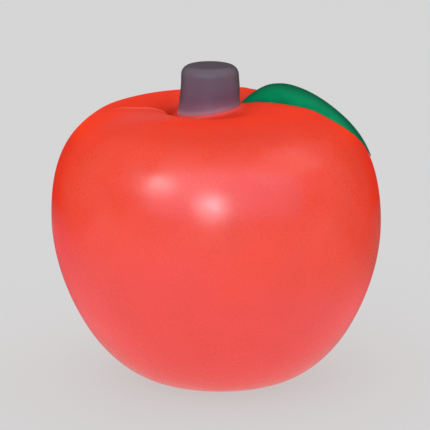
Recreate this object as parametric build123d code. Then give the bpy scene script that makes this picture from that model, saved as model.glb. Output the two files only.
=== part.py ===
from build123d import *

import os

# An apple-shaped stress ball: a squeezable ball of soft foam with a stem and one leaf.
#
# Frame: millimetres, +Z up. The origin is the centre of the flat base, and the ball's axis is Z.
# +X points to the side that the leaf lies on, and -Y is the front.
#
# Every coloured piece is self-skinned foam: a thin tough skin over a soft cellular core. The ball
# is foam_core inside body_skin. The stem is stem_core inside stem_skin, and its core runs on down
# as a shank that is bonded into a socket in the ball. The leaf is leaf_core under leaf_skin,
# bonded on the ball's shoulder. Neighbouring pieces are BOND apart, the room for the adhesive.

# Ball: outline radii and heights, from the base upwards and over into the dimple
BODY_RADIUS, WIDEST_Z = 36.3, 35.8
BASE_RADIUS = 11.4
BASE_TURN_UP = 0.15
HIP_RADIUS, HIP_Z = 28.9, 11.8
SHOULDER_RADIUS, SHOULDER_Z = 31.6, 54.1
CREST_RADIUS, CREST_Z = 19.0, 60.8
LIP_RADIUS, LIP_Z = 12.5, 60.2
WALL_RADIUS, WALL_Z = 10.4, 58.8
FLOOR_RADIUS, FLOOR_Z = 8.6, 57.5
SKIN = 1.2
BOND = 0.05

# Stem: a tapered plug with a flared foot and a rounded top, a little to the left of the axis
STEM_X = -1.0
STEM_FOOT_RADIUS = 7.4
STEM_WAIST_RADIUS, STEM_WAIST_Z = 6.5, 60.6
STEM_TOP_RADIUS, STEM_TOP_Z = 6.0, 70.0
STEM_EDGE = 2.0
STEM_SKIN = 0.9
SHANK_RADIUS, SHANK_DEPTH = 4.5, 8.0

# Leaf: its plan outline, along the front edge from the root by the stem to the tip, and back
LEAF_ROOT, LEAF_TIP = (6.4, 8.4), (34.2, 1.4)
LEAF_FRONT = [(13.0, 4.6), (18.6, -0.4), (25.6, -4.4), (31.0, -2.4)]
LEAF_BACK = [(29.6, 7.2), (21.5, 15.2), (12.5, 18.2)]
LEAF_MIDDLE = (20.0, 7.0)
LEAF_RISE = 2.8
LEAF_DRAW = 0.7
LEAF_SKIN = 0.8
LEAF_CORE_SHARE = 0.7
LEAF_CORE_PLAY = 0.01

LEFT, RIGHT, UP = (-1, 0), (1, 0), (0, 1)


def moved_in(edge, inset, stations=12):
    """A copy of an outline edge moved inwards by inset; the outline runs anticlockwise."""
    points = []
    for station in range(stations + 1):
        run = edge % (station / stations)
        points.append(edge @ (station / stations) + inset * Vector(-run.Y, run.X))
    return Spline(*points, tangents=[edge % 0, edge % 1])


def turned(outline, centre_x=0.0):
    """The solid swept by turning a half outline, which starts and ends on the axis, about Z."""
    closing = Line(outline @ 1, outline @ 0)
    section = make_face(Plane.XZ * (outline + closing))
    return Pos(centre_x, 0, 0) * revolve(section, Axis.Z)


def ball(inset=0.0):
    """The ball's solid, or what lies more than inset beneath its surface."""
    curves = [
        Spline((BASE_RADIUS, 0), (HIP_RADIUS, HIP_Z), (BODY_RADIUS, WIDEST_Z),
               tangents=[(1, BASE_TURN_UP), UP]),
        Spline((BODY_RADIUS, WIDEST_Z), (SHOULDER_RADIUS, SHOULDER_Z), (CREST_RADIUS, CREST_Z),
               tangents=[UP, LEFT]),
        Spline((CREST_RADIUS, CREST_Z), (LIP_RADIUS, LIP_Z), (WALL_RADIUS, WALL_Z),
               (FLOOR_RADIUS, FLOOR_Z), tangents=[LEFT, LEFT]),
    ]
    if inset:
        curves = [moved_in(curve, inset) for curve in curves]
    foot = Line((0, inset), curves[0] @ 0)
    floor = Line(curves[-1] @ 1, (0, FLOOR_Z - inset))
    return turned(foot + curves + floor)


def stem(inset=0.0):
    """The stem's solid, or what lies more than inset beneath its side and top."""
    foot_z = FLOOR_Z + BOND
    shoulder_z = STEM_TOP_Z - STEM_EDGE
    foot = Line((0, foot_z), (STEM_FOOT_RADIUS - inset, foot_z))
    flare = Spline(foot @ 1, (STEM_WAIST_RADIUS - inset, STEM_WAIST_Z), tangents=[(-1, 1), UP])
    side = Line(flare @ 1, (STEM_TOP_RADIUS - inset, shoulder_z))
    edge = JernArc(side @ 1, UP, STEM_EDGE - inset, 90)
    top = Line(edge @ 1, (0, STEM_TOP_Z - inset))
    return turned(foot + flare + side + edge + top, STEM_X)


def shank(radius, depth):
    """A round plug with a rounded end, from the dimple's floor down to depth."""
    plug = Pos(STEM_X, 0, FLOOR_Z - depth) * Cylinder(
        radius, depth + 2 * BOND, align=(Align.CENTER, Align.CENTER, Align.MIN))
    return fillet(plug.edges().sort_by(Axis.Z)[0], radius / 3)


def drawn_in(points, share):
    """Plan points moved towards the leaf's middle, to share of their distance from it."""
    middle = Vector(*LEAF_MIDDLE)
    return [middle + share * (Vector(*point) - middle) for point in points]


def leaf_column(share=1.0):
    """An upright column on the leaf's plan outline, or on that outline drawn in to share."""
    front = Spline(*drawn_in([LEAF_ROOT, *LEAF_FRONT, LEAF_TIP], share))
    back = Spline(*drawn_in([LEAF_TIP, *LEAF_BACK, LEAF_ROOT], share))
    outline = Pos(0, 0, WIDEST_Z) * make_face(front + back)
    return extrude(outline, CREST_Z + 2 * LEAF_RISE - WIDEST_Z)


def leaf_block(body, rise, share=1.0):
    """The leaf's thickness: between the ball's surface and a copy of the ball raised by rise."""
    raised = Pos(-LEAF_DRAW, 0, rise) * body
    return (raised & leaf_column(share)) - Pos(0, 0, BOND) * body


def build():
    """Every piece, by name."""
    body = ball()
    socket = shank(SHANK_RADIUS + BOND, SHANK_DEPTH + BOND)
    leaf_room = leaf_block(body, LEAF_RISE - LEAF_SKIN, LEAF_CORE_SHARE)
    leaf_core_share = LEAF_CORE_SHARE - LEAF_CORE_PLAY
    return {
        "foam_core": ball(SKIN + BOND) - socket,
        "body_skin": body - ball(SKIN) - socket,
        "stem_core": stem(STEM_SKIN + BOND) + shank(SHANK_RADIUS, SHANK_DEPTH),
        "stem_skin": stem() - stem(STEM_SKIN),
        "leaf_core": leaf_block(body, LEAF_RISE - LEAF_SKIN - BOND, leaf_core_share),
        "leaf_skin": leaf_block(body, LEAF_RISE) - leaf_room,
    }


os.makedirs("parts", exist_ok=True)
for name, shape in build().items():
    export_step(shape, f"parts/{name}.step")
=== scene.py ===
"""An apple-shaped foam stress ball: a red ball with a brown stem in its dimple and a green leaf.

Shapes are worked out in millimetres and turned into metres when a piece is made. x runs to the right,
y away from the camera, and z up from the floor. A pair called a span is where something is none and
where it is full, in that order, with a smooth change between the two. A fade has two more numbers,
for what the value is at those places.
"""

import math
from collections import namedtuple

import bpy
import numpy as np
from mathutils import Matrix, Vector


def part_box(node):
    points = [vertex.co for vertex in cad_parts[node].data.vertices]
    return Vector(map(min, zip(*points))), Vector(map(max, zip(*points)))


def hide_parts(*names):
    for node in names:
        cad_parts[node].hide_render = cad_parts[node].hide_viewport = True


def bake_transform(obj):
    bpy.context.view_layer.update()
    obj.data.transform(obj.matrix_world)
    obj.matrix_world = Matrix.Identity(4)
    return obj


MM = 0.001

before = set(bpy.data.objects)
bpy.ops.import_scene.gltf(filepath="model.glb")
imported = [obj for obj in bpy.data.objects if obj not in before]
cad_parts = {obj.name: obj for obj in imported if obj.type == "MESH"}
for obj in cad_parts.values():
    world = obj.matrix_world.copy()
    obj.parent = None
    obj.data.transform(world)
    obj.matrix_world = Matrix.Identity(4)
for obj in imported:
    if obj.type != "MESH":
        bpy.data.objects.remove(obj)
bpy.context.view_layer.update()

# ---------------------------------------------------------------- sizes

ball_low, ball_high = (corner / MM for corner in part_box("body_skin"))
stem_low, stem_high = (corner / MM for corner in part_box("stem_skin"))
shank_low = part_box("stem_core")[0] / MM

BOND = 0.05

RADIUS = (ball_high.x - ball_low.x) / 2
CREST_Z = ball_high.z
WIDEST_Z = 0.59 * CREST_Z
FLOOR_Z = stem_low.z - BOND
SKIN = 1.2

# The ball's outline, from the rim of the base over into the dimple: share of RADIUS, share of
# CREST_Z, and the way the outline runs there, in degrees anticlockwise from straight outwards
OUTLINE = [
    (0.341, 0.000, 0),
    (0.805, 0.197, 59),
    (1.000, 0.590, 90),
    (0.863, 0.892, 129),
    (0.520, 1.000, 180),
    (0.345, 0.986, 206),
    (0.290, 0.966, 232),
    (0.237, 0.946, 200),
]

# The ball as moulded leans a little to the left as it rises
LEAN = 0.022
LEAN_Z = 0.53 * CREST_Z

# Stem
STEM_X = (stem_low.x + stem_high.x) / 2 + 0.35
STEM_TOP_Z = stem_high.z
STEM_TOP_RADIUS = 6.3
STEM_WAIST_RADIUS = 6.6
STEM_WAIST_Z = 62.8
STEM_RUNS = [102, 93, 92]    # degrees, at the foot, the waist and the upper edge
STEM_EDGE = 2.1
STEM_DOME = 0.15
STEM_SKIN = 0.9
SHANK_RADIUS = 4.5
SHANK_BEVEL = 1.5
SHANK_LOW_Z = shank_low.z

# Where brown gives way to red round the stem's foot, and the red wall hidden behind it
PAINT_RADIUS, PAINT_Z = 7.0, 60.4
PAINT_GAP = 0.02
WALL_GAP = 0.12

# The brown skin's foot, hidden inside the red wall, which widens a little towards the top
FOOT_RADIUS = PAINT_RADIUS - 0.4
FOOT_FLARE, FOOT_DROP = 0.1, 0.35

# The stem's foot is tipped: it drops by SLANT on its left edge, rises as much on its right, and
# stands FOOT_SKEW further to the left
SLANT = 1.05
FOOT_SKEW = 0.4
SLANT_BELOW_SPAN = (FLOOR_Z + 0.3, PAINT_Z - 0.6)
SLANT_ABOVE_SPAN = (STEM_WAIST_Z + 2.9, PAINT_Z)

# The dimple is centred on the stem, and its lip comes closer to the stem on the left
DIMPLE_SHIFT_SPAN = (18, 10)
UPPER_SPAN = (0.8 * CREST_Z, 0.9 * CREST_Z)
LIP_PULL = 1.8
LIP_LEFT_SPAN = (0.3, -0.8)
LIP_INNER_SPAN = (8.8, 10.6)
LIP_OUTER_SPAN = (20, 14)

# What is left of the plain dimple's depth in front and behind; on the left DIMPLE_TILT more of it is
# left, and on the right as much less
DIMPLE_DEPTH = 0.49
DIMPLE_TILT = 0.43
DIMPLE_SPAN = (0.53 * RADIUS, 0.47 * RADIUS)
TOP_SPAN = (0.55 * CREST_Z, 0.9 * CREST_Z)

# The parting ridge on the left of the stem, and the lower top behind it
RIDGE_Y = -2.8
RIDGE_HEIGHT, RIDGE_WIDTH = 0.28, 0.34
RIDGE_ROOT_SPAN = (STEM_X - 6, STEM_X - 9)
RIDGE_END_SPAN = (26, 20)
BEHIND_DROP = 0.50
BEHIND_NEAR_SPAN = (RIDGE_Y, RIDGE_Y + 1.0)
BEHIND_FAR_SPAN = (18, 6)
BEHIND_REACH_SPAN = (27, 17)

# Rises in the top of the ball, and, where the height is below zero, a hollow
Mound = namedtuple("Mound", "x y width depth height")
LEAF_SWELLING = Mound(6.2, 12.5, 3.6, 5.0, 1.6)
SHOULDER_SWELLING = Mound(-21.5, 4.0, 4.5, 8.0, 0.35)
RIDGE_HOLLOW = Mound(-14.5, RIDGE_Y - 3.2, 4.5, 1.9, -0.18)

# Leaf: plan outlines from the root to the tip, and how high it stands along its length
LEAF_FRONT = [(6.2, 4.8), (10.6, 4.6), (13.5, 3.4), (16.8, 0.8), (19.5, -1.6), (23.4, -4.4),
              (25.8, -5.0), (28.6, -4.4), (31.5, -2.2), (34.2, 1.0)]
LEAF_BACK = [(6.2, 4.8), (8.6, 10.0), (11.4, 15.6), (14.8, 18.2), (19.6, 16.6), (24.0, 12.6),
             (28.0, 8.4), (31.6, 4.6), (33.4, 2.4), (34.2, 1.0)]
LEAF_HEIGHTS = [(0.0, 0.5), (0.10, 1.4), (0.2, 2.6), (0.3, 3.0), (0.4, 2.9), (0.5, 2.3),
                (0.6, 1.7), (0.72, 1.0), (0.85, 0.6), (1.0, 0.25)]
LEAF_SKIN = 0.8
LEAF_ROUNDNESS = 1.5
LEAF_FOAM_SHARE = 0.7

# How high the undersides of the leaf's skin and foam lie over the ball, and their least thickness
LEAF_SKIN_LIFT, LEAF_FOAM_LIFT = 0.03, 0.06
LEAF_LEAST = 0.02

# How finely the pieces are meshed
COLUMNS = 360
CROWDING = 0.30
STEM_COLUMNS, STEM_FOAM_COLUMNS = 144, 96
OUTER_ROWS, INNER_ROWS = 320, 120
FILLET_ROWS, RIM_ROWS = 14, 16
LEAF_STATIONS, LEAF_ACROSS = 120, 40
LEAF_SMOOTHING = 9

# ---------------------------------------------------------------- paint

RED_ABOVE = (0.675, 0.038, 0.014, 1)
RED_FLOOR_REFLECTION = (0.680, 0.045, 0.038, 1)
RED_CREST_SHADE = (0.610, 0.036, 0.017, 1)
RED_SHADE = (0.510, 0.025, 0.015, 1)
RED_RIM_REFLECTION = (0.900, 0.050, 0.065, 1)
RED_HOLLOW_SHADE = (0.550, 0.030, 0.014, 1)
RED_DENT_REFLECTION = (0.550, 0.054, 0.040, 1)
RED_RIDGE_HIGHLIGHT = (0.680, 0.085, 0.060, 1)
RED_DUSTED = (0.670, 0.090, 0.090, 1)
BROWN = (0.135, 0.066, 0.117, 1)
BROWN_DARK = (0.119, 0.056, 0.103, 1)
BROWN_TOP_REFLECTION = (0.105, 0.078, 0.098, 1)
BROWN_EDGE_SHADE = (0.048, 0.044, 0.048, 1)
BROWN_FADED = (0.350, 0.165, 0.210, 1)
GREEN = (0.0002, 0.215, 0.086, 1)
GREEN_PATCHES_AND_SHADE = (0.0010, 0.092, 0.042, 1)
FOAM = (0.80, 0.72, 0.50, 1)
FOAM_CELL = (0.60, 0.50, 0.30, 1)

# The red changes from pink to orange-red over PINK_SPAN, with a wavy border that is PINK_SLANT lower
# for each millimetre to the right. The pink below is a painted reflection of the pale floor.
PINK_SPAN = (24.0, 42.0)
PINK_SLANT = 0.20
WANDER_SIZE, WANDER_FADE = 16.0, (0.2, 0.8, -4.0, 4.0)
# A darker red over the top of the ball, over CREST_SPAN, is painted shade.
CREST_SPAN = (55.8, 60.2)

# Seen edge on, the red is darker on the shoulder and a clearer pink on the flank: the darker red is
# painted shade and the pink is a painted reflection.
RED_EDGE_SPAN = (0.42, 0.92)
SHOULDER_LOW_SPAN = (27.0, 44.0)
SHOULDER_HIGH_FADE = (53.0, 57.0, 0.85, 0.0)
FLANK_LOW_SPAN = (8.0, 18.0)
FLANK_HIGH_FADE = (26.0, 36.0, 0.6, 0.0)

# Places of the red, all on the top of the ball: painted shade in the groove and behind the parting
# ridge, a painted greyish reflection on a patch in front of it, a painted highlight along its crest,
# and a line where the brown spray has drifted onto the red
TOP_PAINT_SPAN = (56, 58)
GROOVE_REACH_SPAN = (12.0, 10.0)
GROOVE_BELOW_SPAN = (-0.2, -0.7)
GROOVE_RIGHT_SPAN = (0.9, 0.55)
GROOVE_LEFT_SPAN, GROOVE_LEFT_LEAST = (-0.95, -0.5), 0.3
# painted shade in the groove and behind the parting ridge
HOLLOW_SHADE_BEHIND = 0.9
HOLLOW_SHADE_NEAR_SPAN = (RIDGE_Y + 0.1, RIDGE_Y + 1.2)
HOLLOW_SHADE_REACH_SPAN = (28, 11)
HOLLOW_SHADE_ROOT_SPAN = (STEM_X - 6.5, STEM_X - 10.5)
# a painted greyish reflection on a patch in front of the parting ridge
DENT_REFLECTION_PATCH = Mound(-14.5, RIDGE_Y - 7.4, 6.5, 5.0, 1.3)
DENT_REFLECTION_TOP_SPAN = (56, 58.5)
# a painted highlight along the crest of the parting ridge
RIDGE_HIGHLIGHT_Y, RIDGE_HIGHLIGHT_WIDTH = RIDGE_Y - 0.05, 0.35
RIDGE_HIGHLIGHT_ROOT_SPAN = (STEM_X - 8, STEM_X - 11)
RIDGE_HIGHLIGHT_END_SPAN = (STEM_X - 23, STEM_X - 17)
DUST_WIDTH = 0.45
DUST_REACH_SPAN = (9.0, 7.6)
DUST_RIGHT, DUST_MORE_LEFT = 0.4, 0.5

# The brown is weaker over its foot, less so on the right
FOOT_RIGHT_SPAN = (STEM_X + 6.5, STEM_X + 1.0)
FADED_RIGHT, FADED_MORE_LEFT = 0.3, 0.7
FADED_WIDE, FADED_WIDE_SPAN = 0.42, (4.0, 0.0)
FADED_NARROW, FADED_NARROW_SPAN = 0.58, (1.5, 0.3)
BROWN_PATCH_SIZE, BROWN_PATCH_SPAN = 4.0, (0.3, 0.7)
# The brown turns greyer towards the top: a painted reflection.
BROWN_TOP_REFLECTION_SPAN = (61.0, STEM_TOP_Z)
# The brown turns darker and greyer where seen edge on: painted shade.
BROWN_EDGE_SHADE_FADE = (0.30, 0.95, 0.0, 0.85)

# The green is darker along the far edge, as painted shade, and towards the tip and in patches
GREEN_PATCH_SIZE, GREEN_PATCH_FADE = 5.0, (0.35, 0.65, 0.0, 0.35)
LEAF_FAR_SPAN = (-0.05, 0.45)
LEAF_TIP, LEAF_TIP_SPAN = 0.8, (25, 33)

# How strongly the skins mirror, how rough they are, and where the mirroring fades edge on
RED_ROUGH, BROWN_ROUGH, GREEN_ROUGH = 0.29, 0.50, 0.48
BROWN_SHEEN, GREEN_SHEEN = 0.10, 0.01
RED_SHEEN_FADE = (56.0, 60.2, 0.32, 0.05)
SHEEN_EDGE_SPAN = (0.36, 0.70)
RED_SHEEN_SPAN = (30.0, 42.0)
BROWN_SHEEN_SPAN = (60.0, 68.5)

# The finish that all the skins share: feature sizes and depths in millimetres
NOISE_ROUGHNESS = 0.55
BLOTCH_SIZE, BLOTCH_FADE = 11.0, (0.3, 0.7, 0.98, 1.02)
SPECKLE_SIZE, SPECKLE_FADE = 0.7, (0.3, 0.7, 0.995, 1.005)
RUBBED_SIZE, RUBBED_FADE = 6.0, (0.35, 0.7, -0.04, 0.05)
FINE_SIZE, FINE_FADE = 0.5, (0.3, 0.7, -0.03, 0.03)
PORE_SPACING, PORE_SHARE, PORE_DEPTH, PORE_ROUGHNESS = 2.0, 0.14, 0.010, 0.06
PORE_SPAN = (0.20, 0.05)
PEEL_SIZE, PEEL_DEPTH = 0.9, 0.004
WAVE_SIZE, WAVE_DEPTH = 5.0, 0.05

# Foam
FOAM_CELL_SIZE, FOAM_CELL_DEPTH, FOAM_CELL_SPAN = 0.7, 0.25, (0.0, 0.6)
FOAM_PATCH_SIZE, FOAM_ROUGH_FADE = 3.0, (0.3, 0.7, 0.85, 0.95)

# ---------------------------------------------------------------- studio and camera, metres

WHITE = (1, 1, 1, 1)
FLOOR_REACH = 6.0
FLOOR_GREY = (0.12, 0.12, 0.12, 1)

# Strengths of the floor's and the world's own light: as seen, in reflections, and as lighting. The
# floor's fade runs over y in metres, and the world's over how far a direction points to the back.
FLOOR_SEEN, FLOOR_LIGHTING = 0.50, 1.15
FLOOR_REFLECTED_FADE = (-0.12, 0.06, 1.65, 0.0)
WORLD_SEEN = 0.66
WORLD_REFLECTED_FADE = (0.0, 0.6, 0.75, 0.03)
WORLD_LIGHTING_FADE = (-0.6, 0.6, 0.93, 1.6)

# Lamps: degrees round from the camera's side to the right and up, metres away, metres wide and
# high, watts, colour, and whether it lights the scene or only makes a highlight
Lamp = namedtuple("Lamp", "name azimuth elevation distance width height power colour lights")
LAMPS = [
    Lamp("front_softbox", -20, 50, 3.0, 2.5, 2.5, 26, (1, 1, 1), True),
    Lamp("window", 5, 33, 3.0, 8.6, 3.0, 265, (0.42, 0.55, 1.0), False),
    Lamp("key", -2.3, 18.0, 1.8, 0.36, 0.48, 19, (0.4, 0.9, 1.0), False),
    Lamp("left_spot", -45, 33.5, 1.8, 0.42, 0.62, 12.5, (0.4, 1.0, 1.0), False),
    Lamp("right_softbox", 72, 51, 2.0, 2.0, 1.1, 15, (0.8, 0.85, 1.0), False),
]
LAMP_AIM = Vector((0, 0, 0.035))

CAMERA_ELEVATION = 14.0
CAMERA_DISTANCE = 0.600
FRAME_WIDTH = 0.09492
CAMERA_AIM = Vector((-0.00035, 0, 0.0363))

# ---------------------------------------------------------------- curves

def smoothstep(low, high, value):
    """0 at low, 1 at high and smooth between; low may be above high."""
    t = np.clip((value - low) / (high - low), 0, 1)
    return t * t * (3 - 2 * t)


def bump(value, centre, width):
    """1 at centre, falling away smoothly over about width either side."""
    return np.exp(-((value - centre) / width) ** 2)


def curve_through(points, angles, per_span=60):
    """A smooth curve through points, running at the given angle in degrees at each of them."""
    curve = []
    for start, end, angle_0, angle_1 in zip(points, points[1:], angles, angles[1:]):
        chord = math.dist(start, end)
        run_0 = chord * np.array([math.cos(math.radians(angle_0)), math.sin(math.radians(angle_0))])
        run_1 = chord * np.array([math.cos(math.radians(angle_1)), math.sin(math.radians(angle_1))])
        t = np.linspace(0, 1, per_span, endpoint=False)[:, None]
        curve.append((2 * t**3 - 3 * t**2 + 1) * np.array(start) + (t**3 - 2 * t**2 + t) * run_0
                     + (3 * t**2 - 2 * t**3) * np.array(end) + (t**3 - t**2) * run_1)
    return np.vstack(curve + [np.array(points[-1])[None, :]])


def evenly(curve, count):
    """count points spaced evenly along a polyline."""
    steps = np.linalg.norm(np.diff(curve, axis=0), axis=1)
    along = np.concatenate([[0], np.cumsum(steps)])
    wanted = np.linspace(0, along[-1], count)
    return np.column_stack([np.interp(wanted, along, column) for column in curve.T])


def smooth_plan(points, count):
    """A smooth curve through plan points, evenly spaced."""
    pts = np.array(points, float)
    pts = np.vstack([2 * pts[0] - pts[1], pts, 2 * pts[-1] - pts[-2]])
    t = np.linspace(0, 1, 24, endpoint=False)[:, None]
    curve = []
    for a, b, c, d in zip(pts, pts[1:], pts[2:], pts[3:]):
        curve.append(0.5 * (2 * b + (c - a) * t + (2 * a - 5 * b + 4 * c - d) * t**2
                            + (3 * b - a - 3 * c + d) * t**3))
    return evenly(np.vstack(curve + [pts[-2][None, :]]), count)


def straight(start, end, rows):
    """Evenly spaced points from start to end, without start itself."""
    return np.linspace(start, end, rows + 1)[1:]


def moved_in(outline, inset):
    """An outline that runs anticlockwise round its solid, moved inwards by inset."""
    run = np.gradient(outline, axis=0)
    run /= np.linalg.norm(run, axis=1)[:, None]
    return outline + inset * np.column_stack([-run[:, 1], run[:, 0]])

def least_of(least, share):
    """A share that runs from least, instead of from 0, up to 1."""
    return least + (1 - least) * share


# ---------------------------------------------------------------- the ball's shape

BALL_OUTLINE = curve_through([(r * RADIUS, z * CREST_Z) for r, z, _ in OUTLINE],
                             [angle for _, _, angle in OUTLINE])


def top_height(reach):
    """The height of the plain ball's upper side at a distance from its axis."""
    just_under = WIDEST_Z - 0.01
    upper = BALL_OUTLINE[BALL_OUTLINE[:, 1] >= just_under][::-1]
    return np.interp(reach, upper[:, 0], upper[:, 1])


def leaned(points):
    """Shifts points sideways by their height, as the moulded ball leans."""
    moved = np.array(points, float)
    moved[..., 0] -= LEAN * (moved[..., 2] - LEAN_Z)
    return moved


def stem_shift(reach):
    """How far the dimple is shifted sideways, at a distance from the axis, to be round the stem."""
    return STEM_X * smoothstep(*DIMPLE_SHIFT_SPAN, reach)


def centred_on_stem(points):
    """Shifts the dimple sideways so that it is centred on the stem."""
    moved = np.array(points, float)
    reach = np.hypot(moved[..., 0], moved[..., 1])
    moved[..., 0] += stem_shift(reach) * smoothstep(*UPPER_SPAN, moved[..., 2])
    return moved


def slanted(points):
    """Tips the foot of the stem: lower and further out on the left, higher on the right."""
    moved = np.array(points, float)
    x, _, z = np.moveaxis(moved, -1, 0)
    share = smoothstep(*SLANT_BELOW_SPAN, z) * smoothstep(*SLANT_ABOVE_SPAN, z)
    moved[..., 2] += SLANT * (x - STEM_X) / PAINT_RADIUS * share
    moved[..., 0] -= FOOT_SKEW * share
    return moved


def mound(x, y, mark):
    """How high a mound stands over plan places."""
    return mark.height * bump(x, mark.x, mark.width) * bump(y, mark.y, mark.depth)


def mould_marks(points):
    """Raises and lowers the top of the ball where the mould left its marks."""
    moved = np.array(points, float)
    x, y, z = np.moveaxis(moved, -1, 0)
    reach = np.maximum(np.hypot(x - STEM_X, y), 1e-6)
    rightness = (x - STEM_X) / reach
    on_top = smoothstep(*TOP_SPAN, z)
    # the dimple's lip comes closer to the stem on the left
    pull = LIP_PULL * smoothstep(*LIP_LEFT_SPAN, rightness)
    pull = pull * smoothstep(*LIP_INNER_SPAN, reach) * smoothstep(*LIP_OUTER_SPAN, reach)
    moved[..., 2] += (top_height(reach + pull) - top_height(reach)) * on_top
    z = moved[..., 2]
    # the dimple is deep on the left, shallow in front and behind, and filled on the right
    depth_share = DIMPLE_DEPTH - DIMPLE_TILT * rightness
    lift = (CREST_Z - z) * (1 - depth_share) * smoothstep(*DIMPLE_SPAN, reach)
    # a swelling behind the stem on the right, where the leaf starts, and one on the left shoulder
    lift += mound(x, y, LEAF_SWELLING)
    lift += mound(x, y, SHOULDER_SWELLING)
    # the parting ridge runs out to the left from the stem, and behind it the top is lower
    left = smoothstep(*RIDGE_ROOT_SPAN, x)
    behind = smoothstep(*BEHIND_NEAR_SPAN, y) * smoothstep(*BEHIND_FAR_SPAN, y)
    lift += RIDGE_HEIGHT * bump(y, RIDGE_Y, RIDGE_WIDTH) * left * smoothstep(*RIDGE_END_SPAN, reach)
    lift -= BEHIND_DROP * behind * left * smoothstep(*BEHIND_REACH_SPAN, reach)
    # a shallow hollow in front of the ridge
    lift += mound(x, y, RIDGE_HOLLOW)
    moved[..., 2] += lift * on_top
    return moved


def top_surface(x, y):
    """The height of the ball's marked upper side over plan places."""
    # a place's shift depends on where it was before, so that place is closed in on step by step
    plain_x = np.array(x, float)
    for _ in range(8):
        plain_x = x - stem_shift(np.hypot(plain_x, y))
    plain = np.stack([x, y, top_height(np.hypot(plain_x, y))], axis=-1)
    return mould_marks(plain)[..., 2]


# ---------------------------------------------------------------- meshes

def ring_angles(columns):
    """Angles round the ball, closer together on the left and right, by the parting line."""
    even = np.linspace(0, 2 * math.pi, columns, endpoint=False)
    return even - CROWDING * np.sin(2 * even)


def even_angles(columns):
    """Angles evenly round a piece."""
    return np.linspace(0, 2 * math.pi, columns, endpoint=False)


def turned(outline, angles, centre_x=0.0):
    """An outline of (radius, height) rows turned about an upright axis: one ring for each row."""
    radius, height = outline[:, 0, None], outline[:, 1, None]
    return np.stack([centre_x + radius * np.cos(angles), radius * np.sin(angles),
                     height + 0 * radius * angles], axis=-1)


def make_piece(name, rings, material, masks=None):
    """A closed, smooth piece through rings of points; the first and last ring are single points.

    The piece remembers its points at rest, in millimetres, for its material to be laid out on,
    and any masks: named functions of those points.
    """
    first, last = rings[0].mean(axis=0), rings[-1].mean(axis=0)
    middle = rings[1:-1]
    count, columns = middle.shape[:2]
    points = np.vstack([first, middle.reshape(-1, 3), last])
    faces = []
    for column in range(columns):
        following = (column + 1) % columns
        faces.append((0, 1 + following, 1 + column))
        for ring in range(count - 1):
            near, far = 1 + ring * columns, 1 + (ring + 1) * columns
            faces.append((near + column, near + following, far + following, far + column))
        edge = 1 + (count - 1) * columns
        faces.append((edge + column, edge + following, 1 + count * columns))
    mesh = bpy.data.meshes.new(name)
    mesh.from_pydata((points * MM).tolist(), [], faces)
    mesh.shade_smooth()
    mesh.materials.append(material)
    mesh.attributes.new("rest", "FLOAT_VECTOR", "POINT").data.foreach_set("vector", points.ravel())
    for mask, strength in (masks or {}).items():
        mesh.attributes.new(mask, "FLOAT", "POINT").data.foreach_set("value", strength(points))
    piece = bpy.data.objects.new(name, mesh)
    bpy.context.scene.collection.objects.link(piece)
    return piece


# ---------------------------------------------------------------- where the paint differs

def paint_line_z(points):
    """The height of the line between brown and red, at points near it."""
    return PAINT_Z + SLANT * (points[:, 0] - STEM_X) / PAINT_RADIUS


def red_hollow_shade(points):
    """Where the red is painted darker as shade: in the groove, and behind the parting ridge."""
    x, y, z = points.T
    reach = np.hypot(x - STEM_X, y)
    rightness = (x - STEM_X) / reach
    below = z - paint_line_z(points)
    groove = smoothstep(*GROOVE_REACH_SPAN, reach) * smoothstep(*GROOVE_BELOW_SPAN, below)
    left = least_of(GROOVE_LEFT_LEAST, smoothstep(*GROOVE_LEFT_SPAN, rightness))
    groove *= smoothstep(*GROOVE_RIGHT_SPAN, rightness) * left
    behind = smoothstep(*HOLLOW_SHADE_NEAR_SPAN, y) * smoothstep(*HOLLOW_SHADE_REACH_SPAN, reach)
    behind *= smoothstep(*HOLLOW_SHADE_ROOT_SPAN, x)
    return np.clip(groove + HOLLOW_SHADE_BEHIND * behind, 0, 1) * smoothstep(*TOP_PAINT_SPAN, z)


def red_dent_reflection(points):
    """Where the red is painted greyish as a reflection: in a patch in front of the parting ridge."""
    x, y, z = points.T
    return np.minimum(mound(x, y, DENT_REFLECTION_PATCH), 1) * smoothstep(*DENT_REFLECTION_TOP_SPAN, z)


def red_ridge_highlight(points):
    """Where the red is painted paler as a highlight: along the crest of the parting ridge."""
    x, y, z = points.T
    along = smoothstep(*RIDGE_HIGHLIGHT_ROOT_SPAN, x) * smoothstep(*RIDGE_HIGHLIGHT_END_SPAN, x)
    return bump(y, RIDGE_HIGHLIGHT_Y, RIDGE_HIGHLIGHT_WIDTH) * along * smoothstep(*TOP_PAINT_SPAN, z)


def red_dusted(points):
    """Where the brown spray has drifted onto the red: a thin line under the foot of the stem."""
    reach = np.hypot(points[:, 0] - STEM_X, points[:, 1])
    side = DUST_RIGHT + DUST_MORE_LEFT * smoothstep(*FOOT_RIGHT_SPAN, points[:, 0])
    line = bump(points[:, 2] - paint_line_z(points), 0.0, DUST_WIDTH)
    return side * line * smoothstep(*DUST_REACH_SPAN, reach)


def stem_faded(points):
    """Where the brown is sprayed thin and lighter: at the foot of the stem."""
    above = points[:, 2] - paint_line_z(points)
    side = FADED_RIGHT + FADED_MORE_LEFT * smoothstep(*FOOT_RIGHT_SPAN, points[:, 0])
    wide = FADED_WIDE * smoothstep(*FADED_WIDE_SPAN, above)
    return side * (wide + FADED_NARROW * smoothstep(*FADED_NARROW_SPAN, above))


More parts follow.
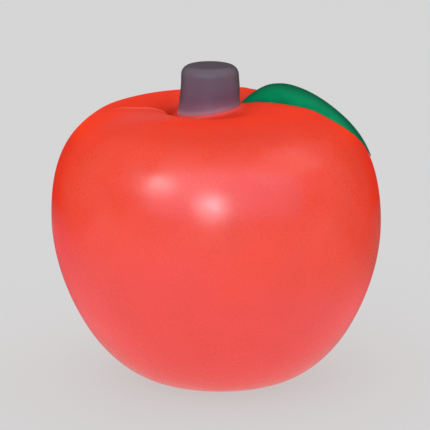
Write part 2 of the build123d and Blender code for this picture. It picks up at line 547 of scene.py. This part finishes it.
def leaf_shaded(points):
    """Where the leaf's green is darker: along its far edge, as painted shade, and towards its tip."""
    x, y, _ = points.T
    front = np.interp(x, *np.array(LEAF_FRONT).T)
    back = np.interp(x, *np.array(LEAF_BACK).T)
    share = (y - front) / np.maximum(back - front, 1.0)
    return np.clip(smoothstep(*LEAF_FAR_SPAN, share) + LEAF_TIP * smoothstep(*LEAF_TIP_SPAN, x), 0, 1)


# ---------------------------------------------------------------- ball

def ball_fillet(edge, angles):
    """Rings from the dimple's edge up to where the brown starts, turning upwards as they go in."""
    paint_ring = slanted(turned(np.array([(PAINT_RADIUS, PAINT_Z)]), angles, STEM_X))
    turn = np.linspace(0, math.pi / 2, FILLET_ROWS)[1:, None]
    inwards, upwards = np.sin(turn), 1 - np.cos(turn)
    shares = np.stack([inwards, inwards, upwards], axis=-1)
    return edge + shares * (paint_ring - edge)


def build_ball_skin(material):
    """The red skin: outer surface, fillet, hidden wall and socket rim, then the inner surface."""
    angles = ring_angles(COLUMNS)
    hole = SHANK_RADIUS + BOND
    inside = moved_in(BALL_OUTLINE, SKIN)
    middle = (0.0, 0.0)
    outer = np.vstack([
        [middle], straight(middle, BALL_OUTLINE[0], rows=12),
        evenly(BALL_OUTLINE, OUTER_ROWS)[1:],
    ])
    outer_rings = mould_marks(centred_on_stem(turned(outer, angles)))
    fillet_rings = ball_fillet(outer_rings[-1], angles)
    wall = PAINT_RADIUS - WALL_GAP
    wall_top = (wall, PAINT_Z - PAINT_GAP)
    hidden = np.vstack([
        [wall_top], straight(wall_top, (wall, FLOOR_Z), rows=10),
        straight((wall, FLOOR_Z), (hole, FLOOR_Z), rows=3),
        straight((hole, FLOOR_Z), (hole, FLOOR_Z - SKIN), rows=3),
    ])
    inner = np.vstack([
        straight((hole, FLOOR_Z - SKIN), inside[-1], rows=6)[:-1],
        evenly(inside, INNER_ROWS)[::-1], straight(inside[0], (0.0, SKIN), rows=8),
    ])
    hidden_rings = slanted(turned(hidden, angles, STEM_X))
    inner_rings = centred_on_stem(turned(inner, angles))
    rings = np.concatenate([outer_rings, fillet_rings, hidden_rings, inner_rings])
    # masks for painted shade, a painted greyish reflection, a painted highlight and drifted brown
    # spray on the red
    masks = {"hollow_shade": red_hollow_shade, "dent_reflection": red_dent_reflection, "ridge_highlight": red_ridge_highlight, "dusted": red_dusted}
    return make_piece("ball_red_skin", leaned(rings), material, masks)


def build_ball_foam(material):
    """The foam inside the ball, with the socket for the stem's shank."""
    inside = moved_in(BALL_OUTLINE, SKIN + BOND)
    hole = SHANK_RADIUS + BOND
    top_z, bottom_z = inside[-1, 1], SHANK_LOW_Z - BOND
    middle = (0.0, inside[0, 1])
    bevel_top, bevel_foot = (hole, bottom_z + SHANK_BEVEL), (hole - SHANK_BEVEL, bottom_z)
    outline = np.vstack([
        [middle], straight(middle, inside[0], rows=8),
        evenly(inside, INNER_ROWS)[1:], straight(inside[-1], (hole, top_z), rows=5),
        straight((hole, top_z), bevel_top, rows=8),
        straight(bevel_top, bevel_foot, rows=3),
        straight(bevel_foot, (0.0, bottom_z), rows=4),
    ])
    rings = centred_on_stem(turned(outline, ring_angles(COLUMNS // 2)))
    return make_piece("ball_foam", leaned(rings), material)


# ---------------------------------------------------------------- stem

def stem_side(inset):
    """The stem's outline from its painted foot up and over to the middle of its top."""
    edge = STEM_EDGE - inset
    edge_z = STEM_TOP_Z - STEM_EDGE
    flat = STEM_TOP_RADIUS - inset - edge
    top_z = STEM_TOP_Z - inset
    side = curve_through([
        (PAINT_RADIUS - PAINT_GAP - inset, PAINT_Z),
        (STEM_WAIST_RADIUS - inset, STEM_WAIST_Z),
        (STEM_TOP_RADIUS - inset, edge_z),
    ], STEM_RUNS, per_span=24)
    turn = np.linspace(0, math.pi / 2, RIM_ROWS)[1:]
    rim = np.column_stack([flat + edge * np.cos(turn), edge_z + edge * np.sin(turn)])
    return np.vstack([side, rim, straight((flat, top_z), (0.0, top_z + STEM_DOME), rows=10)])


def build_stem_skin(material):
    """The brown skin: a cap, open at the foot, which stands inside the red flare."""
    outer_foot = (FOOT_RADIUS, FLOOR_Z + BOND)
    inner_foot = (FOOT_RADIUS - STEM_SKIN, FLOOR_Z + BOND)
    flared = (FOOT_RADIUS + FOOT_FLARE, PAINT_Z - FOOT_DROP)
    outside = np.vstack([[outer_foot], straight(outer_foot, flared, rows=8), stem_side(0.0)])
    inside = stem_side(STEM_SKIN)
    under = np.vstack([inside[::-1], straight(inside[0], inner_foot, rows=8)])
    rings = turned(np.vstack([under, outside]), even_angles(STEM_COLUMNS), STEM_X)
    return make_piece("stem_brown_skin", leaned(slanted(rings)), material, {"faded": stem_faded})


def build_stem_foam(material):
    """The foam inside the stem, with the shank that runs down into the ball."""
    inside = stem_side(STEM_SKIN + BOND)
    foot = (FOOT_RADIUS - BOND - STEM_SKIN, FLOOR_Z + BOND)
    middle, bevel_foot = (0.0, SHANK_LOW_Z), (SHANK_RADIUS - SHANK_BEVEL, SHANK_LOW_Z)
    bevel_top, shank_top = (SHANK_RADIUS, SHANK_LOW_Z + SHANK_BEVEL), (SHANK_RADIUS, foot[1])
    outline = np.vstack([
        [middle], straight(middle, bevel_foot, rows=4),
        straight(bevel_foot, bevel_top, rows=3),
        straight(bevel_top, shank_top, rows=8),
        straight(shank_top, foot, rows=2), straight(foot, inside[0], rows=8), inside[1:],
    ])
    rings = turned(outline, even_angles(STEM_FOAM_COLUMNS), STEM_X)
    return make_piece("stem_foam", leaned(slanted(rings)), material)


# ---------------------------------------------------------------- leaf

def on_ball(plan, height):
    """Points height above the ball's surface, square to it, over plan places."""
    x, y = plan[..., 0], plan[..., 1]
    step = 0.3
    ground = top_surface(x, y)
    slope_x = (top_surface(x + step, y) - top_surface(x - step, y)) / (2 * step)
    slope_y = (top_surface(x, y + step) - top_surface(x, y - step)) / (2 * step)
    rise = height / np.sqrt(1 + slope_x**2 + slope_y**2)
    return np.stack([x - slope_x * rise, y - slope_y * rise, ground + rise], axis=-1)


def leaf_rings(share, lowest, cover):
    """Rings round the leaf, one for each place along it.

    share is how much of the leaf's plan is taken, lowest is how high its underside stands, and its
    top is taken down by cover.
    """
    front, back = smooth_plan(LEAF_FRONT, LEAF_STATIONS), smooth_plan(LEAF_BACK, LEAF_STATIONS)
    along = np.linspace(0, 1, LEAF_STATIONS)
    height = np.interp(along, *np.array(LEAF_HEIGHTS).T)
    padded = np.pad(height, LEAF_SMOOTHING // 2, mode="edge")
    height = np.convolve(padded, np.ones(LEAF_SMOOTHING) / LEAF_SMOOTHING, mode="valid")
    middle = (front + back) / 2
    turn = np.linspace(0, math.pi, LEAF_ACROSS)
    side = -np.cos(turn)[None, :]
    crown = np.sin(turn)[None, :] ** LEAF_ROUNDNESS
    centre = middle.mean(axis=0)
    plan = middle[:, None, :] + side[..., None] * (back - front)[:, None, :] / 2
    plan = centre + share * (plan - centre)
    top = on_ball(plan, np.maximum(crown * height[:, None] - cover, lowest + LEAF_LEAST))
    under = on_ball(plan, np.full(plan.shape[:2], lowest))
    return np.concatenate([top, under[:, ::-1]], axis=1)


def build_leaf_skin(material):
    """The green skin, which lies on the ball and is thickest along its middle."""
    rings = leaf_rings(share=1.0, lowest=LEAF_SKIN_LIFT, cover=0.0)
    return make_piece("leaf_green_skin", leaned(rings), material, {"shaded": leaf_shaded})


def build_leaf_foam(material):
    """The foam pad inside the leaf."""
    rings = leaf_rings(share=LEAF_FOAM_SHARE, lowest=LEAF_FOAM_LIFT, cover=LEAF_SKIN)
    return make_piece("leaf_foam", leaned(rings), material)


# ---------------------------------------------------------------- nodes

def add(tree, kind, inputs=None, **settings):
    """Adds a node; each input is given a value, or the output that feeds it."""
    made = tree.nodes.new(kind)
    for name, value in settings.items():
        setattr(made, name, value)
    for name, value in (inputs or {}).items():
        if isinstance(value, bpy.types.NodeSocket):
            tree.links.new(value, made.inputs[name])
        else:
            made.inputs[name].default_value = value
    return made


def calculate(tree, operation, first, second):
    """The result of a sum, a difference or the like of two values."""
    return add(tree, "ShaderNodeMath", {0: first, 1: second}, operation=operation).outputs[0]


def product(tree, first, second):
    """One value times the other."""
    return calculate(tree, "MULTIPLY", first, second)


def opposite(tree, share):
    """1 where share is 0, and 0 where it is 1."""
    return calculate(tree, "SUBTRACT", 1.0, share)


def mixed(tree, share, first, second):
    """A colour between first and second."""
    node = add(tree, "ShaderNodeMix", {0: share, 6: first, 7: second}, data_type="RGBA")
    return node.outputs[2]


def spread(tree, value, from_low, from_high, to_low=0.0, to_high=1.0):
    """Maps a range of values smoothly onto another."""
    ends = {"From Min": from_low, "From Max": from_high, "To Min": to_low, "To Max": to_high}
    node = add(tree, "ShaderNodeMapRange", {"Value": value, **ends}, interpolation_type="SMOOTHSTEP")
    return node.outputs[0]


def noise(tree, place, size, detail=3.0):
    """Noise about 0.5, with features about size millimetres across."""
    inputs = {"Vector": place, "Scale": 1 / size, "Detail": detail, "Roughness": NOISE_ROUGHNESS}
    return add(tree, "ShaderNodeTexNoise", inputs).outputs["Fac"]


def attribute(tree, name, output="Fac"):
    """A value that the piece holds for each of its points."""
    return add(tree, "ShaderNodeAttribute", attribute_name=name).outputs[output]


def pores(tree, place, size, share):
    """1 inside small round pores and 0 between them; only a share of the places has one."""
    cells = add(tree, "ShaderNodeTexVoronoi", {"Vector": place, "Scale": 1 / size})
    chance = add(tree, "ShaderNodeSeparateColor", {0: cells.outputs["Color"]}).outputs[0]
    present = calculate(tree, "LESS_THAN", chance, share)
    return product(tree, spread(tree, cells.outputs["Distance"], *PORE_SPAN), present)


def bumped(tree, height, depth, normal=None):
    """A bump whose height runs from 0 to 1 over depth millimetres."""
    inputs = {"Height": height, "Distance": depth * MM, "Strength": 1.0}
    if normal:
        inputs["Normal"] = normal
    return add(tree, "ShaderNodeBump", inputs).outputs[0]


def turned_away(tree):
    """0 where a surface faces the eye, 1 where it is seen edge on."""
    return add(tree, "ShaderNodeLayerWeight", {"Blend": 0.5}).outputs["Facing"]


# ---------------------------------------------------------------- materials

def new_material(name):
    """A material with its node tree and shader, and the place at rest of each point on the piece."""
    material = bpy.data.materials.new(name)
    material.use_nodes = True
    tree = material.node_tree
    return material, tree, tree.nodes["Principled BSDF"], attribute(tree, "rest", "Vector")


def finish_skin(tree, shader, place, colour, rough):
    """The finish that all three skins share: mottled colour, orange peel, pores and rubbed places."""
    blotches = spread(tree, noise(tree, place, BLOTCH_SIZE, detail=2.0), *BLOTCH_FADE)
    speckle = spread(tree, noise(tree, place, SPECKLE_SIZE, detail=2.0), *SPECKLE_FADE)
    shade = product(tree, blotches, speckle)
    colour = add(tree, "ShaderNodeVectorMath", {0: colour, 3: shade}, operation="SCALE").outputs[0]
    tree.links.new(colour, shader.inputs["Base Color"])
    rubbed = spread(tree, noise(tree, place, RUBBED_SIZE, detail=4.0), *RUBBED_FADE)
    fine = spread(tree, noise(tree, place, FINE_SIZE, detail=2.0), *FINE_FADE)
    roughness = calculate(tree, "ADD", calculate(tree, "ADD", rubbed, fine), rough)
    pits = pores(tree, place, PORE_SPACING, PORE_SHARE)
    roughness = calculate(tree, "ADD", roughness, product(tree, pits, PORE_ROUGHNESS))
    tree.links.new(roughness, shader.inputs["Roughness"])
    peel = bumped(tree, noise(tree, place, PEEL_SIZE, detail=2.0), PEEL_DEPTH)
    waves = bumped(tree, noise(tree, place, WAVE_SIZE, detail=1.0), WAVE_DEPTH, peel)
    tree.links.new(bumped(tree, opposite(tree, pits), PORE_DEPTH, waves), shader.inputs["Normal"])


def set_sheen(tree, shader, level, height, span):
    """How strongly a skin mirrors: level, but less on its upper part where it is seen edge on."""
    away = spread(tree, turned_away(tree), *SHEEN_EDGE_SPAN)
    fade = opposite(tree, product(tree, away, spread(tree, height, *span)))
    tree.links.new(product(tree, fade, level), shader.inputs["Specular IOR Level"])


def red_material():
    """Sprayed red skin: orange-red above, and a paler pinkish red below which is a painted reflection
    of the pale floor; painted shade on the top, on the shoulders and in the hollows, a painted pink
    reflection on the lower flanks, and a painted greyish reflection and a painted highlight by the
    parting ridge.
    """
    material, tree, shader, place = new_material("red_skin")
    across, _, height = add(tree, "ShaderNodeSeparateXYZ", {0: place}).outputs
    sloping = calculate(tree, "ADD", height, product(tree, across, PINK_SLANT))
    wander = spread(tree, noise(tree, place, WANDER_SIZE, detail=2.0), *WANDER_FADE)
    share = spread(tree, calculate(tree, "ADD", sloping, wander), *PINK_SPAN)
    # painted reflection of the pale floor: the red turns a paler pink below
    colour = mixed(tree, share, RED_FLOOR_REFLECTION, RED_ABOVE)
    # painted shade: a darker red on the top of the ball
    colour = mixed(tree, spread(tree, height, *CREST_SPAN), colour, RED_CREST_SHADE)
    rim = spread(tree, turned_away(tree), *RED_EDGE_SPAN)
    above = spread(tree, height, *SHOULDER_LOW_SPAN)
    shoulder = product(tree, above, spread(tree, height, *SHOULDER_HIGH_FADE))
    flank_low = spread(tree, height, *FLANK_LOW_SPAN)
    flank = product(tree, flank_low, spread(tree, sloping, *FLANK_HIGH_FADE))
    # painted shade on the shoulder and a painted pink reflection on the flank, where the red is seen
    # edge on
    colour = mixed(tree, product(tree, rim, shoulder), colour, RED_SHADE)
    colour = mixed(tree, product(tree, rim, flank), colour, RED_RIM_REFLECTION)
    # the red's painted shade, painted greyish reflection and painted highlight, and its drifted brown
    # spray
    marked_colours = {"hollow_shade": RED_HOLLOW_SHADE, "dent_reflection": RED_DENT_REFLECTION, "ridge_highlight": RED_RIDGE_HIGHLIGHT, "dusted": RED_DUSTED}
    for mask, marked_colour in marked_colours.items():
        colour = mixed(tree, attribute(tree, mask), colour, marked_colour)
    sheen = spread(tree, height, *RED_SHEEN_FADE)
    dull = opposite(tree, attribute(tree, "hollow_shade"))
    set_sheen(tree, shader, product(tree, sheen, dull), height, RED_SHEEN_SPAN)
    finish_skin(tree, shader, place, colour, RED_ROUGH)
    return material


def brown_material():
    """Sprayed brown skin: greyer towards the top, as a painted reflection, darker and greyer at the
    sides, as painted shade, and faded at the foot.
    """
    material, tree, shader, place = new_material("brown_skin")
    patchy = spread(tree, noise(tree, place, BROWN_PATCH_SIZE), *BROWN_PATCH_SPAN)
    colour = mixed(tree, patchy, BROWN_DARK, BROWN)
    height = add(tree, "ShaderNodeSeparateXYZ", {0: place}).outputs[2]
    # painted reflection: greyer towards the top
    colour = mixed(tree, spread(tree, height, *BROWN_TOP_REFLECTION_SPAN), colour, BROWN_TOP_REFLECTION)
    # painted shade: darker and greyer where the stem is seen edge on
    rim = spread(tree, turned_away(tree), *BROWN_EDGE_SHADE_FADE)
    colour = mixed(tree, rim, colour, BROWN_EDGE_SHADE)
    colour = mixed(tree, attribute(tree, "faded"), colour, BROWN_FADED)
    set_sheen(tree, shader, BROWN_SHEEN, height, BROWN_SHEEN_SPAN)
    finish_skin(tree, shader, place, colour, BROWN_ROUGH)
    return material


def green_material():
    """Sprayed green skin: matt, patchily darker, darker towards its tip, and with painted shade along
    its far edge.
    """
    material, tree, shader, place = new_material("green_skin")
    patchy = spread(tree, noise(tree, place, GREEN_PATCH_SIZE), *GREEN_PATCH_FADE)
    # darker in random patches, with painted shade along the far edge and darker towards the tip
    dark = calculate(tree, "MAXIMUM", attribute(tree, "shaded"), patchy)
    shader.inputs["Specular IOR Level"].default_value = GREEN_SHEEN
    finish_skin(tree, shader, place, mixed(tree, dark, GREEN, GREEN_PATCHES_AND_SHADE), GREEN_ROUGH)
    return material


def foam_material():
    """Cut foam: pale, matt and full of small cells."""
    material, tree, shader, place = new_material("foam")
    voronoi = add(tree, "ShaderNodeTexVoronoi", {"Vector": place, "Scale": 1 / FOAM_CELL_SIZE})
    cells = voronoi.outputs["Distance"]
    colour = mixed(tree, spread(tree, cells, *FOAM_CELL_SPAN), FOAM_CELL, FOAM)
    tree.links.new(colour, shader.inputs["Base Color"])
    roughness = spread(tree, noise(tree, place, FOAM_PATCH_SIZE), *FOAM_ROUGH_FADE)
    tree.links.new(roughness, shader.inputs["Roughness"])
    tree.links.new(bumped(tree, cells, FOAM_CELL_DEPTH), shader.inputs["Normal"])
    return material


# ---------------------------------------------------------------- pieces in place of the CAD nodes

red, brown, green, foam = red_material(), brown_material(), green_material(), foam_material()


def attach(pieces):
    """Puts pieces in place of their CAD nodes: hides each node and bakes each piece's transform."""
    for node, (piece, slot) in pieces.items():
        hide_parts(node)
        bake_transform(piece)


ball_pieces = {
    "body_skin": (build_ball_skin(red), "red_skin"),
    "foam_core": (build_ball_foam(foam), "foam"),
    "leaf_skin": (build_leaf_skin(green), "green_skin"),
    "leaf_core": (build_leaf_foam(foam), "foam"),
}
stem_pieces = {
    "stem_skin": (build_stem_skin(brown), "brown_skin"),
    "stem_core": (build_stem_foam(foam), "foam"),
}
attach(ball_pieces)
attach(stem_pieces)


# ---------------------------------------------------------------- floor and world

def by_ray(tree, seen, reflected, lighting):
    """A strength that differs for what the camera sees, for reflections and for lighting."""
    ray = add(tree, "ShaderNodeLightPath").outputs
    lit = add(tree, "ShaderNodeMix", {0: ray["Is Glossy Ray"], 2: lighting, 3: reflected}).outputs[0]
    return add(tree, "ShaderNodeMix", {0: ray["Is Camera Ray"], 2: lit, 3: seen}).outputs[0]


def floor_material():
    """A pale, evenly lit table: part of its light is its own, so that it stays even."""
    material = bpy.data.materials.new("floor")
    material.use_nodes = True
    tree = material.node_tree
    shader = tree.nodes["Principled BSDF"]
    shader.inputs["Base Color"].default_value = FLOOR_GREY
    shader.inputs["Roughness"].default_value = 1.0
    shader.inputs["Specular IOR Level"].default_value = 0.0
    shader.inputs["Emission Color"].default_value = WHITE
    place = add(tree, "ShaderNodeNewGeometry").outputs["Position"]
    depth = add(tree, "ShaderNodeSeparateXYZ", {0: place}).outputs[1]
    reflected = spread(tree, depth, *FLOOR_REFLECTED_FADE)
    strength = by_ray(tree, FLOOR_SEEN, reflected, FLOOR_LIGHTING)
    tree.links.new(strength, shader.inputs["Emission Strength"])
    return material


def build_floor():
    """The floor that the ball stands on."""
    near, far = -FLOOR_REACH, FLOOR_REACH
    mesh = bpy.data.meshes.new("floor")
    mesh.from_pydata([(near, near, 0), (far, near, 0), (far, far, 0), (near, far, 0)], [],
                     [(0, 1, 2, 3)])
    mesh.materials.append(floor_material())
    floor = bpy.data.objects.new("floor", mesh)
    bpy.context.scene.collection.objects.link(floor)


def light_world():
    """Even light from all round, which shows only dimly in reflections."""
    world = bpy.data.worlds.new("studio")
    world.use_nodes = True
    tree = world.node_tree
    way = add(tree, "ShaderNodeTexCoord").outputs["Generated"]
    depth = add(tree, "ShaderNodeSeparateXYZ", {0: way}).outputs[1]
    reflected = spread(tree, depth, *WORLD_REFLECTED_FADE)
    lighting = spread(tree, depth, *WORLD_LIGHTING_FADE)
    background = tree.nodes["Background"]
    tree.links.new(by_ray(tree, WORLD_SEEN, reflected, lighting), background.inputs["Strength"])
    background.inputs["Color"].default_value = WHITE
    bpy.context.scene.world = world


# ---------------------------------------------------------------- lamps and camera

def hang_lamp(lamp):
    """A rectangular lamp that faces the ball's middle."""
    light = bpy.data.lights.new(lamp.name, "AREA")
    light.shape = "RECTANGLE"
    light.size = lamp.width
    light.size_y = lamp.height
    light.energy = lamp.power
    light.color = lamp.colour
    holder = bpy.data.objects.new(lamp.name, light)
    round_by, up_by = math.radians(lamp.azimuth), math.radians(lamp.elevation)
    level = math.cos(up_by)
    way = Vector((math.sin(round_by) * level, -math.cos(round_by) * level, math.sin(up_by)))
    holder.location = LAMP_AIM + way * lamp.distance
    holder.rotation_euler = way.to_track_quat("Z", "Y").to_euler()
    holder.visible_diffuse = lamp.lights
    bpy.context.scene.collection.objects.link(holder)


def place_camera():
    """A camera in front of the ball, looking slightly down on it."""
    camera = bpy.data.cameras.new("camera")
    camera.lens = camera.sensor_width * CAMERA_DISTANCE / FRAME_WIDTH
    holder = bpy.data.objects.new("camera", camera)
    rise = math.radians(CAMERA_ELEVATION)
    back = Vector((0, -math.cos(rise), math.sin(rise)))
    holder.location = CAMERA_AIM + back * CAMERA_DISTANCE
    holder.rotation_mode = "QUATERNION"
    holder.rotation_quaternion = back.to_track_quat("Z", "Y")
    bpy.context.scene.collection.objects.link(holder)
    bpy.context.scene.camera = holder


build_floor()
light_world()
bpy.context.scene.view_settings.view_transform = "Standard"
for lamp in LAMPS:
    hang_lamp(lamp)
place_camera()
